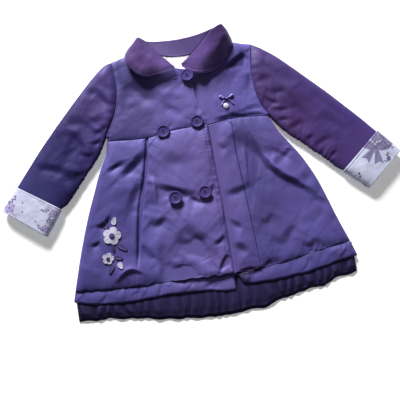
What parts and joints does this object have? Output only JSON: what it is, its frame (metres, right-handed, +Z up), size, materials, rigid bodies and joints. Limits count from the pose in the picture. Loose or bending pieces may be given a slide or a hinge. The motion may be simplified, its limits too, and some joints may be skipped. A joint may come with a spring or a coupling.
{
  "type": "coat",
  "caption": "Toddler's double-breasted padded satin coat laid flat, with a round collar, printed turn-back cuffs, a pleated skirt and a ruffle under its hem.",
  "frame": {"origin": "on the floor under the centre back, level with the waist seam where it meets the side seams; it is a point of the back skirt's flat underside", "axes": "+X to the right as the laid coat is looked at, which is towards the wearer's left sleeve, +Y towards the collar, +Z up from the floor"},
  "size_m": [0.651, 0.4708, 0.0401],
  "materials": {
    "body_satin": "blue-violet satin-faced polyester over wadding, faint weave, soft sheen",
    "sleeve_satin": "darker purple satin-faced polyester over wadding, with magenta tints",
    "collar_satin": "magenta-purple satin-faced polyester",
    "ruffle_cloth": "dark navy-purple gathered cloth, matt",
    "printed_cloth": "lilac-white printed cotton with small grey-lilac sprigs and bows",
    "button_plastic": "glossy purple plastic",
    "ribbon_satin": "dark purple satin ribbon",
    "charm_plastic": "clear glossy round stone",
    "applique_petal": "lilac-white felt, matt",
    "applique_leaf": "dark purple satin-stitch cloth"
  },
  "bodies": {
    "root": {"back_yoke": "body_satin", "back_skirt": "body_satin", "back_hem_band": "body_satin", "front_yoke_right": "body_satin", "front_yoke_left": "body_satin", "front_skirt_right": "body_satin", "front_skirt_left": "body_satin", "front_hem_band_right": "body_satin", "front_hem_band_left": "body_satin", "sleeve_right": "sleeve_satin", "sleeve_left": "sleeve_satin", "collar": "collar_satin", "ruffle_back": "ruffle_cloth", "ruffle_front_right": "ruffle_cloth", "ruffle_front_left": "ruffle_cloth", "cuff_right": "printed_cloth", "cuff_left": "printed_cloth", "neck_lining": "printed_cloth", "button_neck": "button_plastic", "button_upper_right": "button_plastic", "button_upper_left": "button_plastic", "button_lower_right": "button_plastic", "button_lower_left": "button_plastic", "bow_loop_right": "ribbon_satin", "bow_loop_left": "ribbon_satin", "bow_knot": "ribbon_satin", "bow_tail_right": "ribbon_satin", "bow_tail_left": "ribbon_satin", "charm": "charm_plastic", "applique_flower_large": "applique_petal", "applique_flower_small": "applique_petal", "applique_flower_large_heart": "applique_leaf", "applique_flower_small_heart": "applique_leaf", "applique_bud_upper": "applique_petal", "applique_bud_lower": "applique_petal", "applique_leaf_1": "applique_leaf", "applique_leaf_2": "applique_leaf", "applique_leaf_3": "applique_leaf", "applique_leaf_4": "applique_leaf", "applique_leaf_5": "applique_leaf"}
  },
  "joints": []
}
